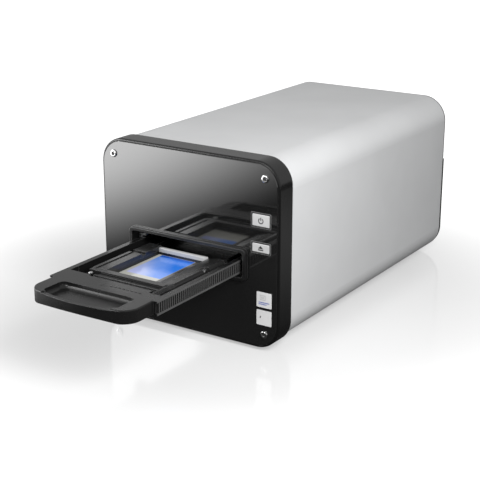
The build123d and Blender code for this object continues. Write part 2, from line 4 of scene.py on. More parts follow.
import bmesh
import bpy
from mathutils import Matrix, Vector


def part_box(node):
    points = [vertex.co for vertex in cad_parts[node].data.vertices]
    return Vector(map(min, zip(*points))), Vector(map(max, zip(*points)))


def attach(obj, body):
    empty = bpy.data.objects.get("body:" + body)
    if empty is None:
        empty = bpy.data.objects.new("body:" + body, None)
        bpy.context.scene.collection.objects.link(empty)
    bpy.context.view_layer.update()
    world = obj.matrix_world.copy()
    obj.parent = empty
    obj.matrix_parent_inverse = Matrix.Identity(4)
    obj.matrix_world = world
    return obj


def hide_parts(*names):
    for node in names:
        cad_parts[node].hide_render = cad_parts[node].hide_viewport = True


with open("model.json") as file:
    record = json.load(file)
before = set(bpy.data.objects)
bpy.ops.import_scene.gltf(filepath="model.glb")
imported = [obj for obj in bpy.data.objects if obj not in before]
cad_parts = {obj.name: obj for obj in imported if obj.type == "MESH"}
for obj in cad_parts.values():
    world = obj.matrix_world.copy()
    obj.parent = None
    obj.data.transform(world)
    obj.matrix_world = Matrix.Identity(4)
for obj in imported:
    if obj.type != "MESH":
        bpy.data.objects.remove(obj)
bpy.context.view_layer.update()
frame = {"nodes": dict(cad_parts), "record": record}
print("frame loaded:", len(frame["nodes"]), "nodes")

mm = 0.001
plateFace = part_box("front_plate")[0].y  # the face of the front plate
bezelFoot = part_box("front_bezel")[0].z  # the lower edge of the bezel


def at(x, y, z):
    # x from the centre line, y behind the plate's face, z above the bezel's lower edge, in mm
    return Vector((x * mm, plateFace + y * mm, bezelFoot + z * mm))


def addNode(tree, kind, inputs=None, **settings):
    # a new node, each of whose inputs is a link from a socket or a plain value
    node = tree.nodes.new(kind)
    for key, value in settings.items():
        setattr(node, key, value)
    for socket, value in (inputs or {}).items():
        if isinstance(value, bpy.types.NodeSocket):
            tree.links.new(value, node.inputs[socket])
        else:
            node.inputs[socket].default_value = value
    return node


def newShaderGroup(name, sockets, results):
    # a group with named inputs at their usual values, and one float for each result
    group = bpy.data.node_groups.new(name, "ShaderNodeTree")
    for label, value in sockets.items():
        socketType = "NodeSocketVector" if isinstance(value, tuple) else "NodeSocketFloat"
        socket = group.interface.new_socket(label, in_out="INPUT", socket_type=socketType)
        socket.default_value = value
    for label in results:
        group.interface.new_socket(label, in_out="OUTPUT", socket_type="NodeSocketFloat")
    return group, group.nodes.new("NodeGroupInput"), group.nodes.new("NodeGroupOutput")


def mathNode(tree, operation, first, second=0.0, clamp=False):
    node = addNode(tree, "ShaderNodeMath", {0: first, 1: second}, operation=operation, use_clamp=clamp)
    return node.outputs[0]


def spread(tree, value, fromLow, fromHigh, toLow, toHigh, smooth=False):
    # the value, moved from one range to another and kept inside it
    node = addNode(tree, "ShaderNodeMapRange", {"Value": value, "From Min": fromLow, "From Max": fromHigh,
                                                "To Min": toLow, "To Max": toHigh})
    node.interpolation_type = "SMOOTHSTEP" if smooth else "LINEAR"
    return node.outputs["Result"]


def blendColours(tree, factor, first, second):
    node = addNode(tree, "ShaderNodeMix", data_type="RGBA")
    for index, value in ((0, factor), (6, first), (7, second)):
        if isinstance(value, bpy.types.NodeSocket):
            tree.links.new(value, node.inputs[index])
        else:
            node.inputs[index].default_value = value
    return node.outputs[2]


def makeFineGrain():
    # small pits and bumps, as on moulded or blasted surfaces
    sockets = {"Grains per metre": 4000.0, "Unevenness": 0.5}
    group, given, result = newShaderGroup("fineGrain", sockets, ("Height", "Tone"))
    place = addNode(group, "ShaderNodeTexCoord").outputs["Object"]
    pits = addNode(group, "ShaderNodeTexVoronoi", {"Vector": place, "Scale": given.outputs[0]})
    cloud = addNode(group, "ShaderNodeTexNoise", {"Vector": place, "Scale": given.outputs[0], "Detail": 2.0})
    mixed = mathNode(group, "MULTIPLY", pits.outputs["Distance"], given.outputs[1])
    group.links.new(mathNode(group, "ADD", mixed, cloud.outputs["Fac"]), result.inputs["Height"])
    wide = addNode(group, "ShaderNodeTexNoise", {"Vector": place, "Scale": 14.0, "Detail": 3.0})
    group.links.new(wide.outputs["Fac"], result.inputs["Tone"])
    return group


def makeBrushedLines():
    # fine drawn lines along one axis, where the stretch is small, and broad bands of tone among them
    sockets = {"Lines per metre": 2500.0, "Stretch": (1.0, 0.02, 1.0)}
    bandsPerLine = 0.05
    group, given, result = newShaderGroup("brushedLines", sockets, ("Height", "Tone"))
    place = addNode(group, "ShaderNodeTexCoord").outputs["Object"]
    drawn = addNode(group, "ShaderNodeVectorMath", {0: place, 1: given.outputs[1]}, operation="MULTIPLY")
    fine = addNode(group, "ShaderNodeTexNoise", {"Vector": drawn.outputs[0], "Scale": given.outputs[0],
                                                 "Detail": 3.0, "Roughness": 0.7})
    broad = mathNode(group, "MULTIPLY", given.outputs[0], bandsPerLine)
    bands = addNode(group, "ShaderNodeTexNoise", {"Vector": drawn.outputs[0], "Scale": broad, "Detail": 2.0})
    group.links.new(fine.outputs["Fac"], result.inputs["Height"])
    group.links.new(bands.outputs["Fac"], result.inputs["Tone"])
    return group


def makeEdgeWearAndHighlight():
    # a mask that is high where an edge turns within the radius, broken up by noise
    sockets = {"Radius": 0.0006, "Breakup": 0.4}
    flatCosine, edgeCosine = 0.99, 0.86  # between the face and its rounded normal
    contrast = 3.0
    group, given, result = newShaderGroup("edgeWearAndHighlight", sockets, ("Mask",))
    rounded = addNode(group, "ShaderNodeBevel", {"Radius": given.outputs[0]}, samples=4)
    flat = addNode(group, "ShaderNodeNewGeometry").outputs["Normal"]
    alike = addNode(group, "ShaderNodeVectorMath", {0: rounded.outputs[0], 1: flat}, operation="DOT_PRODUCT")
    turned = spread(group, alike.outputs["Value"], flatCosine, edgeCosine, 0.0, 1.0)
    place = addNode(group, "ShaderNodeTexCoord").outputs["Object"]
    patches = addNode(group, "ShaderNodeTexNoise", {"Vector": place, "Scale": 260.0, "Detail": 4.0})
    kept = mathNode(group, "SUBTRACT", patches.outputs["Fac"], given.outputs[1], clamp=True)
    kept = mathNode(group, "MULTIPLY", kept, contrast, clamp=True)
    group.links.new(mathNode(group, "MULTIPLY", turned, kept), result.inputs["Mask"])
    return group


def makeHandling():
    # faint smears and dust that make a gloss uneven
    sockets = {"Smears per metre": 9.0, "Dust per metre": 900.0}
    smearStart, smearFull = 0.35, 0.7
    speckEdge, speckHeart = 0.06, 0.03  # distances from the middle of a cell
    group, given, result = newShaderGroup("handling", sockets, ("Smear", "Dust"))
    place = addNode(group, "ShaderNodeTexCoord").outputs["Object"]
    smear = addNode(group, "ShaderNodeTexNoise", {"Vector": place, "Scale": given.outputs[0], "Detail": 5.0,
                                                  "Roughness": 0.6, "Distortion": 0.6})
    specks = addNode(group, "ShaderNodeTexVoronoi", {"Vector": place, "Scale": given.outputs[1]})
    group.links.new(spread(group, smear.outputs["Fac"], smearStart, smearFull, 0.0, 1.0),
                    result.inputs["Smear"])
    group.links.new(spread(group, specks.outputs["Distance"], speckEdge, speckHeart, 0.0, 1.0),
                    result.inputs["Dust"])
    return group


fineGrain = makeFineGrain()
brushedLines = makeBrushedLines()
edgeWearAndHighlight = makeEdgeWearAndHighlight()
handling = makeHandling()


def placeGroup(tree, group, values):
    node = tree.nodes.new("ShaderNodeGroup")
    node.node_tree = group
    for label, value in values.items():
        node.inputs[label].default_value = value
    return node


def grey(level):
    return (level, level, level, 1.0)


def shade(colour, factor):
    return tuple(min(1.0, channel * factor) for channel in colour[:3]) + (1.0,)


def newFinish(name):
    material = bpy.data.materials.new(name)
    material.use_nodes = True
    tree = material.node_tree
    return material, tree, tree.nodes["Principled BSDF"]


# how far colour and roughness drift over a surface, as shares of what a finish gives
mouldedDrift = {"colour": (0.85, 1.15), "roughness": (0.86, 1.16), "from": 0.0}
metalDrift = {"colour": (0.93, 1.07), "roughness": (0.85, 1.15), "from": 0.2}
bumpDistance = 0.00005


def surface(tree, shader, look, drift, value, height):
    # the roughness follows the value, edges are rounded and the grain lies on top
    low, high = (look["roughness"] * share for share in drift["roughness"])
    tree.links.new(spread(tree, value, drift["from"], 1.0, low, high), shader.inputs["Roughness"])
    soft = addNode(tree, "ShaderNodeBevel", {"Radius": look["edge"]}, samples=6)
    bump = addNode(tree, "ShaderNodeBump", {"Height": height, "Strength": look["depth"],
                                            "Distance": bumpDistance, "Normal": soft.outputs[0]})
    tree.links.new(bump.outputs[0], shader.inputs["Normal"])


def smeared(tree, shader, touched, low, high):
    # the gloss of smooth finishes, dulled a little by handling
    tree.links.new(spread(tree, touched.outputs["Smear"], 0.0, 1.0, low, high), shader.inputs["Roughness"])


def moulded(name, look):
    # a moulded, painted or coated surface: colour drifts a little, and edges are painted paler, as wear on
    # most finishes and as a painted highlight where the factor is large
    material, tree, shader = newFinish(name)
    colour = look["colour"]
    grain = placeGroup(tree, fineGrain, {"Grains per metre": look["grain"], "Unevenness": 0.6})
    paleEdges = placeGroup(tree, edgeWearAndHighlight, {"Radius": look["edge"], "Breakup": look.get("breakup", 0.35)})
    touched = placeGroup(tree, handling, {"Smears per metre": 11.0, "Dust per metre": look["dust"]})
    dark, pale = (shade(colour, share) for share in mouldedDrift["colour"])
    drift = blendColours(tree, grain.outputs["Tone"], dark, pale)
    mask = paleEdges.outputs["Mask"]
    if look.get("ribHighlight"):
        # the outer faces of the teeth, this far from the centre line, are painted paler than the gaps: a
        # painted highlight on the teeth that stands in for the shade in the gaps
        low, high = (edge * mm for edge in look["ribHighlight"])
        place = addNode(tree, "ShaderNodeTexCoord").outputs["Object"]
        side = mathNode(tree, "ABSOLUTE", addNode(tree, "ShaderNodeSeparateXYZ", {0: place}).outputs[0])
        mask = mathNode(tree, "MAXIMUM", mask, spread(tree, side, low, high, 0.0, 1.0))
    # edges are painted paler by the factor: wear where it is small, a painted highlight on the collar, holder
    # and cover where it is large
    wornAndHighlit = blendColours(tree, mask, drift, shade(colour, look["wearAndHighlight"]))
    dusty = mathNode(tree, "MULTIPLY", touched.outputs["Dust"], look["dustAmount"])
    dustColour = grey(0.45)
    tree.links.new(blendColours(tree, dusty, wornAndHighlit, dustColour), shader.inputs["Base Color"])
    surface(tree, shader, look, mouldedDrift, touched.outputs["Smear"], grain.outputs["Height"])
    shader.inputs["IOR"].default_value = look.get("ior", 1.5)
    shader.inputs["Metallic"].default_value = look.get("metallic", 0.0)
    return material


def metal(name, look):
    # bare or anodised metal with drawn or blasted texture
    material, tree, shader = newFinish(name)
    colour = look["colour"]
    paleEdges = placeGroup(tree, edgeWearAndHighlight, {"Radius": look["edge"], "Breakup": 0.3})
    if look.get("stretch"):
        grain = placeGroup(tree, brushedLines, {"Lines per metre": look["grain"], "Stretch": look["stretch"]})
    else:
        grain = placeGroup(tree, fineGrain, {"Grains per metre": look["grain"], "Unevenness": 0.8})
    dark, pale = (shade(colour, share) for share in metalDrift["colour"])
    drift = blendColours(tree, grain.outputs["Tone"], dark, pale)
    tree.links.new(blendColours(tree, paleEdges.outputs["Mask"], drift, shade(colour, look["wearAndHighlight"])),
                   shader.inputs["Base Color"])
    surface(tree, shader, look, metalDrift, grain.outputs["Height"], grain.outputs["Height"])
    shader.inputs["Metallic"].default_value = look.get("metallic", 1.0)
    return material


def circuitBoard(name, look):
    # green lacquer over a net of paler tracks
    material, tree, shader = newFinish(name)
    place = addNode(tree, "ShaderNodeTexCoord").outputs["Object"]
    cells = addNode(tree, "ShaderNodeTexVoronoi", {"Vector": place, "Scale": look["tracks"]},
                    feature="DISTANCE_TO_EDGE", distance="CHEBYCHEV")
    tracks = spread(tree, cells.outputs["Distance"], *look["trackEdge"], 1.0, 0.0)
    tree.links.new(blendColours(tree, tracks, look["colour"], look["track"]), shader.inputs["Base Color"])
    touched = placeGroup(tree, handling, {"Smears per metre": 30.0, "Dust per metre": 1500.0})
    smeared(tree, shader, touched, *look["roughness"])
    bump = addNode(tree, "ShaderNodeBump", {"Height": tracks, "Strength": 0.3, "Distance": 0.00004})
    tree.links.new(bump.outputs[0], shader.inputs["Normal"])
    return material


def glassy(name, look):
    # clear glass with faint smears and dust
    material, tree, shader = newFinish(name)
    touched = placeGroup(tree, handling, {"Smears per metre": 60.0, "Dust per metre": 2500.0})
    smeared(tree, shader, touched, *look["roughness"])
    tree.links.new(blendColours(tree, touched.outputs["Dust"], look["colour"], look["dust"]),
                   shader.inputs["Base Color"])
    shader.inputs["Transmission Weight"].default_value = look["clear"]
    shader.inputs["IOR"].default_value = look["ior"]
    return material


def between(tree, value, edge):
    # 1 where the value lies between 0 and 1, with a narrow fade at both ends
    return mathNode(tree, "MULTIPLY", spread(tree, value, 0.0, edge, 0.0, 1.0),
                    spread(tree, value, 1.0 - edge, 1.0, 1.0, 0.0))


def filmPicture(name, look):
    # a plain fade of blues, uneven like a sky, with a deeper band at its far end and a pale margin round it
    material, tree, shader = newFinish(name)
    place = addNode(tree, "ShaderNodeTexCoord").outputs["Object"]
    corner = at(*look["corner"])
    size = look["size"]
    flat = addNode(tree, "ShaderNodeMapping", {"Vector": place, "Location": -corner}, vector_type="POINT")
    scale = (1 / (size[0] * mm), 1 / (size[1] * mm), 1.0)
    unit = addNode(tree, "ShaderNodeVectorMath", {0: flat.outputs[0], 1: scale}, operation="MULTIPLY")
    parts = addNode(tree, "ShaderNodeSeparateXYZ", {0: unit.outputs[0]})
    across, along = parts.outputs[0], parts.outputs[1]
    sweep = mathNode(tree, "ADD", mathNode(tree, "MULTIPLY", across, look["slope"]),
                     mathNode(tree, "MULTIPLY", along, look["slope"]))
    cloud = addNode(tree, "ShaderNodeTexNoise", {"Vector": unit.outputs[0], "Scale": 2.2, "Detail": 3.0})
    sweep = mathNode(tree, "ADD", sweep, mathNode(tree, "MULTIPLY", cloud.outputs["Fac"], look["cloud"]))
    ramp = addNode(tree, "ShaderNodeValToRGB", {"Fac": mathNode(tree, "SUBTRACT", sweep, look["shift"])})
    stops = look["stops"]
    ramp.color_ramp.elements[0].position, ramp.color_ramp.elements[0].color = stops[0]
    ramp.color_ramp.elements[1].position, ramp.color_ramp.elements[1].color = stops[-1]
    for position, colour in stops[1:-1]:
        ramp.color_ramp.elements.new(position).color = colour
    band = spread(tree, along, *look["bandEdge"], 0.0, 1.0)
    picture = blendColours(tree, band, ramp.outputs["Color"], look["band"])
    inside = mathNode(tree, "MULTIPLY", between(tree, across, look["fade"]),
                      between(tree, along, look["fade"]))
    right = spread(tree, across, *look["rightEdge"], 0.0, 1.0)
    border = blendColours(tree, right, look["margin"], look["rightMargin"])
    whole = blendColours(tree, inside, border, picture)
    tree.links.new(whole, shader.inputs["Base Color"])
    touched = placeGroup(tree, handling, {"Smears per metre": 30.0, "Dust per metre": 1200.0})
    smeared(tree, shader, touched, *look["roughness"])
    return material


plasticLooks = {
    "bezel_black": {"colour": grey(0.004), "roughness": 0.22, "grain": 5000.0, "depth": 0.04, "edge": 0.0004,
                    "wearAndHighlight": 2.5, "dust": 700.0, "dustAmount": 0.15},
    # the collar's edges are painted many times paler than its black face, an even painted highlight with no
    # breakup
    "collar_black": {"colour": grey(0.006), "roughness": 0.3, "grain": 5000.0, "depth": 0.05, "edge": 0.0005,
                     "wearAndHighlight": 22.0, "breakup": 0.0, "dust": 700.0, "dustAmount": 0.0},
    "button_silver": {"colour": grey(0.5), "roughness": 0.34, "grain": 6000.0, "depth": 0.05, "edge": 0.0003,
                      "wearAndHighlight": 1.2, "dust": 700.0, "dustAmount": 0.0, "metallic": 0.35},
    "label_white": {"colour": grey(0.52), "roughness": 0.5, "grain": 2500.0, "depth": 0.05, "edge": 0.0002,
                    "wearAndHighlight": 1.05, "dust": 700.0, "dustAmount": 0.0},
    "rear_black": {"colour": grey(0.016), "roughness": 0.55, "grain": 1400.0, "depth": 0.6, "edge": 0.0006,
                   "wearAndHighlight": 2.2, "dust": 700.0, "dustAmount": 0.2},
    "foot_rubber": {"colour": grey(0.02), "roughness": 0.8, "grain": 1800.0, "depth": 0.5, "edge": 0.0006,
                    "wearAndHighlight": 2.0, "dust": 500.0, "dustAmount": 0.3},
    "chip_black": {"colour": grey(0.02), "roughness": 0.45, "grain": 3000.0, "depth": 0.3, "edge": 0.0002,
                   "wearAndHighlight": 2.0, "dust": 900.0, "dustAmount": 0.1},
    "led_yellow": {"colour": (0.85, 0.72, 0.3, 1.0), "roughness": 0.3, "grain": 3000.0, "depth": 0.05,
                   "edge": 0.0002, "wearAndHighlight": 1.1, "dust": 900.0, "dustAmount": 0.0},
    "diffuser_white": {"colour": grey(0.84), "roughness": 0.4, "grain": 2500.0, "depth": 0.1, "edge": 0.0003,
                       "wearAndHighlight": 1.05, "dust": 900.0, "dustAmount": 0.0},
    "lens_black": {"colour": grey(0.012), "roughness": 0.6, "grain": 2500.0, "depth": 0.3, "edge": 0.0004,
                   "wearAndHighlight": 3.0, "dust": 900.0, "dustAmount": 0.1},
    "ribbon_white": {"colour": grey(0.7), "roughness": 0.45, "grain": 2000.0, "depth": 0.1, "edge": 0.0002,
                     "wearAndHighlight": 1.05, "dust": 900.0, "dustAmount": 0.0},
    "capacitor_blue": {"colour": (0.03, 0.05, 0.2, 1.0), "roughness": 0.3, "grain": 2500.0, "depth": 0.05,
                       "edge": 0.0004, "wearAndHighlight": 1.5, "dust": 900.0, "dustAmount": 0.0},
    "gear_white": {"colour": (0.8, 0.78, 0.7, 1.0), "roughness": 0.4, "grain": 3000.0, "depth": 0.1,
                   "edge": 0.0003, "wearAndHighlight": 1.1, "dust": 900.0, "dustAmount": 0.05},
    "motor_black": {"colour": grey(0.03), "roughness": 0.42, "grain": 2500.0, "depth": 0.2, "edge": 0.0005,
                    "wearAndHighlight": 3.0, "dust": 900.0, "dustAmount": 0.1},
    # the holder's and cover's edges are painted paler, a painted highlight along them
    "holder_black": {"colour": grey(0.005), "roughness": 0.26, "grain": 3200.0, "depth": 0.04, "edge": 0.0005,
                     "wearAndHighlight": 10.0, "breakup": 0.2, "dust": 700.0, "dustAmount": 0.1,
                     # the outer faces of the teeth are painted paler than the gaps, a painted highlight
                     "ribHighlight": (60.9, 61.4)},
    "cover_black": {"colour": grey(0.01), "roughness": 0.26, "grain": 3200.0, "depth": 0.04, "edge": 0.0004,
                    "wearAndHighlight": 7.0, "breakup": 0.2, "dust": 700.0, "dustAmount": 0.1},
    "clamp_grey": {"colour": grey(0.32), "roughness": 0.4, "grain": 3000.0, "depth": 0.15, "edge": 0.0003,
                   "wearAndHighlight": 1.2, "dust": 700.0, "dustAmount": 0.0},
    "plate_black": {"colour": grey(0.006), "roughness": 0.05, "grain": 900.0, "depth": 0.0, "edge": 0.0002,
                    "wearAndHighlight": 1.2, "dust": 500.0, "dustAmount": 0.08, "ior": 2.2},
}
metalLooks = {
    "satin_silver": {"colour": (0.63, 0.635, 0.64, 1.0), "roughness": 0.5, "grain": 5200.0, "depth": 0.1,
                     "edge": 0.0004, "wearAndHighlight": 1.15, "metallic": 0.45},
    "screw_steel": {"colour": grey(0.72), "roughness": 0.2, "grain": 2600.0, "depth": 0.1, "edge": 0.0003,
                    "wearAndHighlight": 1.2, "stretch": (1.0, 1.0, 0.1)},
    "socket_metal": {"colour": grey(0.6), "roughness": 0.3, "grain": 2500.0, "depth": 0.1, "edge": 0.0002,
                     "wearAndHighlight": 1.2, "stretch": (0.05, 1.0, 1.0)},
    "zinc_sheet": {"colour": (0.6, 0.61, 0.62, 1.0), "roughness": 0.45, "grain": 900.0, "depth": 0.1,
                   "edge": 0.0004, "wearAndHighlight": 1.1, "stretch": (1.0, 0.05, 1.0)},
    "cast_grey": {"colour": (0.5, 0.51, 0.52, 1.0), "roughness": 0.4, "grain": 1800.0, "depth": 0.2,
                  "edge": 0.0005, "wearAndHighlight": 1.3},
    "gear_brass": {"colour": (0.72, 0.52, 0.2, 1.0), "roughness": 0.28, "grain": 2200.0, "depth": 0.1,
                   "edge": 0.0003, "wearAndHighlight": 1.2, "stretch": (1.0, 1.0, 0.05)},
    "magnet_nickel": {"colour": (0.72, 0.7, 0.66, 1.0), "roughness": 0.18, "grain": 2500.0, "depth": 0.05,
                      "edge": 0.0003, "wearAndHighlight": 1.1},
    "mirror_face": {"colour": (0.9, 0.9, 0.92, 1.0), "roughness": 0.04, "grain": 1500.0, "depth": 0.0,
                    "edge": 0.0002, "wearAndHighlight": 1.0},
}
filmLook = {"corner": (-24.5, -66.0, 77.5), "size": (40.0, 57.0),
            "stops": [(0.0, (0.40, 0.42, 0.66, 1.0)), (0.35, (0.30, 0.37, 0.64, 1.0)),
                      (0.62, (0.12, 0.24, 0.62, 1.0)), (1.0, (0.02, 0.14, 0.56, 1.0))],
            "slope": 0.75, "cloud": 0.35, "shift": 0.22, "fade": 0.01, "roughness": (0.12, 0.22),
            "band": (0.01, 0.08, 0.40, 1.0), "bandEdge": (0.90, 0.93), "margin": (0.40, 0.40, 0.37, 1.0),
            "rightMargin": (0.05, 0.048, 0.045, 1.0), "rightEdge": (0.98, 1.02)}
boardLook = {"colour": (0.01, 0.10, 0.04, 1.0), "track": (0.03, 0.19, 0.08, 1.0), "tracks": 320.0,
             "trackEdge": (0.05, 0.09), "roughness": (0.28, 0.45)}
glassLook = {"colour": (0.8, 0.86, 0.92, 1.0), "dust": grey(0.9), "clear": 1.0, "ior": 1.6,
             "roughness": (0.01, 0.05)}

finishes = {slot: moulded(slot, look) for slot, look in plasticLooks.items()}
finishes.update({slot: metal(slot, look) for slot, look in metalLooks.items()})
finishes["board_green"] = circuitBoard("board_green", boardLook)
finishes["lens_glass"] = glassy("lens_glass", glassLook)
finishes["film_blue"] = filmPicture("film_blue", filmLook)
for subpart in frame["record"]["subparts"]:
    mesh = frame["nodes"][subpart["node"]].data
    mesh.materials.clear()
    mesh.materials.append(finishes[subpart["material_slot"]])
print("finishes placed:", len(finishes))


def newPiece(name, mesh, slot, body, replaced=()):
    # every new piece gets its finish, unless its mesh has one, and the body that it moves with
    piece = bpy.data.objects.new(name, mesh)
    bpy.context.scene.collection.objects.link(piece)
    if not mesh.materials:
        mesh.materials.append(finishes[slot])
    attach(piece, body)
    if replaced:
        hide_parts(*replaced)
    return piece


def meshFrom(build, name, smoothBelow=40.0):
    # closes a bmesh into a mesh with outward faces, smooth except at edges sharper than the angle
    bmesh.ops.remove_doubles(build, verts=build.verts, dist=1e-7)
    bmesh.ops.recalc_face_normals(build, faces=build.faces)
    mesh = bpy.data.meshes.new(name)
    build.to_mesh(mesh)
    build.free()
    mesh.shade_smooth()
    mesh.set_sharp_from_angle(angle=math.radians(smoothBelow))
    return mesh


def roundY(angle, radius, height):
    return radius * math.cos(angle), height, radius * math.sin(angle)


def roundZ(angle, radius, height):
    return radius * math.cos(angle), radius * math.sin(angle), height


def lathe(profile, pointAt, steps=48):
    # a ring of points for each row of the profile, which starts with the radius; a radius of 0 closes the end
    build = bmesh.new()
    rings = []
    for row in profile:
        angles = [2 * math.pi * step / steps for step in range(steps if row[0] > 0 else 1)]
        rings.append([build.verts.new([value * mm for value in pointAt(angle, *row)]) for angle in angles])
    joinRings(build, rings)
    return build


def joinRings(build, rings):
    # faces from each ring to the next, where a ring of one point makes a fan
    for lower, upper in zip(rings, rings[1:]):
        count = max(len(lower), len(upper))
        for step in range(count):
            after = (step + 1) % count
            corners = [lower[step % len(lower)], lower[after % len(lower)],
                       upper[after % len(upper)], upper[step % len(upper)]]
            unique = [corner for index, corner in enumerate(corners) if corner not in corners[:index]]
            if len(unique) > 2:
                build.faces.new(unique)


def roundedLoop(halfX, halfZ, radius, steps):
    # a rectangle with round corners as (x, z) points, anticlockwise, in mm
    points = []
    for corner, (sideX, sideZ) in enumerate(((1, 1), (-1, 1), (-1, -1), (1, -1))):
        for step in range(steps + 1):
            angle = math.radians(90 * corner + 90 * step / steps)
            points.append((sideX * (halfX - radius) + radius * math.cos(angle),
                           sideZ * (halfZ - radius) + radius * math.sin(angle)))
    return points


def loopStack(build, centre, loops, cornerSteps=8):
    # rings of rounded rectangles, each (half width, half height, radius, depth), joined one to the next
    rings = []
    for halfX, halfZ, radius, depth in loops:
        points = roundedLoop(halfX, halfZ, radius, cornerSteps)
        rings.append([build.verts.new(at(centre[0] + x, depth, centre[1] + z)) for x, z in points])
    joinRings(build, rings)
    return rings


def flatShape(build, points, front, back):
    # a thin printed or raised shape over an outline of (x, z) points on the front
    faces = [[build.verts.new(at(x, depth, z)) for x, z in points] for depth in (front, back)]
    build.faces.new(faces[0])
    build.faces.new(faces[1][::-1])
    joinRings(build, faces)


def arcBand(build, centre, radius, width, start, sweep, front, back, steps=24):
    # part of a flat ring, in degrees, as on a power symbol
    outer, inner = [], []
    for step in range(steps + 1):
        angle = math.radians(start + sweep * step / steps)
        for path, r in ((outer, radius + width / 2), (inner, radius - width / 2)):
            path.append((centre[0] + r * math.cos(angle), centre[1] + r * math.sin(angle)))
    for index in range(steps):
        flatShape(build, [outer[index], outer[index + 1], inner[index + 1], inner[index]], front, back)


# Geometry Nodes trees for what repeats


def newNodesGroup(name, sockets):
    group = bpy.data.node_groups.new(name, "GeometryNodeTree")
    for label, (kind, value) in sockets.items():
        socket = group.interface.new_socket(label, in_out="INPUT", socket_type="NodeSocket" + kind)
        if value is not None:
            socket.default_value = value
    group.interface.new_socket("Geometry", in_out="OUTPUT", socket_type="NodeSocketGeometry")
    return group, group.nodes.new("NodeGroupInput").outputs, group.nodes.new("NodeGroupOutput")


def finishNodes(group, instances, material, result):
    solid = addNode(group, "GeometryNodeRealizeInstances", {"Geometry": instances})
    painted = addNode(group, "GeometryNodeSetMaterial", {"Geometry": solid.outputs[0], "Material": material})
    group.links.new(painted.outputs[0], result.inputs[0])


def makeFourCorners():
    # one template piece at each corner of a rectangle
    group, given, result = newNodesGroup("fourCorners", {
        "Template": ("Object", None), "Across": ("Float", 0.1), "Along": ("Float", 0.1),
        "Tilt": ("Rotation", (0.0, 0.0, 0.0)), "Centre": ("Vector", (0.0, 0.0, 0.0)),
        "Finish": ("Material", None)})
    grid = addNode(group, "GeometryNodeMeshGrid", {"Size X": given["Across"], "Size Y": given["Along"],
                                                   "Vertices X": 2, "Vertices Y": 2})
    placed = addNode(group, "GeometryNodeTransform", {"Geometry": grid.outputs[0], "Rotation": given["Tilt"],
                                                      "Translation": given["Centre"]})
    template = addNode(group, "GeometryNodeObjectInfo", {"Object": given["Template"]})
    copies = addNode(group, "GeometryNodeInstanceOnPoints", {"Points": placed.outputs[0],
                                                             "Instance": template.outputs["Geometry"]})
    finishNodes(group, copies.outputs[0], given["Finish"], result)
    return group


def makeRoundRibs():
    # bars laid round a barrel that runs along y, from one angle to another
    group, given, result = newNodesGroup("roundRibs", {
        "Count": ("Int", 8), "Radius": ("Float", 0.003), "First angle": ("Float", 0.0),
        "Sweep": ("Float", 3.0), "Bar": ("Vector", (0.0005, 0.01, 0.0005)),
        "Centre": ("Vector", (0.0, 0.0, 0.0)), "Finish": ("Material", None)})
    line = addNode(group, "GeometryNodeMeshLine", {"Count": given["Count"]})
    index = addNode(group, "GeometryNodeInputIndex").outputs[0]
    last = mathNode(group, "SUBTRACT", given["Count"], 1.0)
    share = mathNode(group, "DIVIDE", index, last)
    angle = mathNode(group, "ADD", given["First angle"], mathNode(group, "MULTIPLY", share, given["Sweep"]))
    side = mathNode(group, "MULTIPLY", mathNode(group, "COSINE", angle), given["Radius"])
    rise = mathNode(group, "MULTIPLY", mathNode(group, "SINE", angle), given["Radius"])
    spot = addNode(group, "ShaderNodeCombineXYZ", {"X": side, "Z": rise})
    place = addNode(group, "ShaderNodeVectorMath", {0: spot.outputs[0], 1: given["Centre"]}, operation="ADD")
    points = addNode(group, "GeometryNodeSetPosition", {"Geometry": line.outputs[0],
                                                        "Position": place.outputs[0]})
    turn = addNode(group, "ShaderNodeCombineXYZ", {"Y": mathNode(group, "MULTIPLY", angle, -1.0)})
    bar = addNode(group, "GeometryNodeMeshCube", {"Size": given["Bar"]})
    copies = addNode(group, "GeometryNodeInstanceOnPoints", {"Points": points.outputs[0],
                                                             "Instance": bar.outputs[0],
                                                             "Rotation": turn.outputs[0]})
    finishNodes(group, copies.outputs[0], given["Finish"], result)
    return group


def makeRowOfBars():
    # equal bars in a straight row
    group, given, result = newNodesGroup("rowOfBars", {
        "Count": ("Int", 5), "Step": ("Vector", (0.001, 0.0, 0.0)), "Bar": ("Vector", (0.0005, 0.01, 0.0005)),
        "First": ("Vector", (0.0, 0.0, 0.0)), "Finish": ("Material", None)})
    line = addNode(group, "GeometryNodeMeshLine", {"Count": given["Count"], "Start Location": given["First"],
                                                   "Offset": given["Step"]})
    bar = addNode(group, "GeometryNodeMeshCube", {"Size": given["Bar"]})
    copies = addNode(group, "GeometryNodeInstanceOnPoints", {"Points": line.outputs[0],
                                                             "Instance": bar.outputs[0]})
    finishNodes(group, copies.outputs[0], given["Finish"], result)
    return group


fourCorners = makeFourCorners()
roundRibs = makeRoundRibs()
rowOfBars = makeRowOfBars()


def grown(group, name, values):
    # runs a tree once and returns its result as a plain mesh
    holder = bpy.data.objects.new(name + "Holder", bpy.data.meshes.new(name + "Start"))
    bpy.context.scene.collection.objects.link(holder)
    modifier = holder.modifiers.new("nodes", "NODES")
    modifier.node_group = group
    for item in group.interface.items_tree:
        if item.in_out == "INPUT" and item.name in values:
            modifier[item.identifier] = values[item.name]
    evaluated = holder.evaluated_get(bpy.context.evaluated_depsgraph_get())
    mesh = bpy.data.meshes.new_from_object(evaluated)
    mesh.name = name
    holder.modifiers.remove(modifier)
    bpy.data.objects.remove(holder)
    return mesh


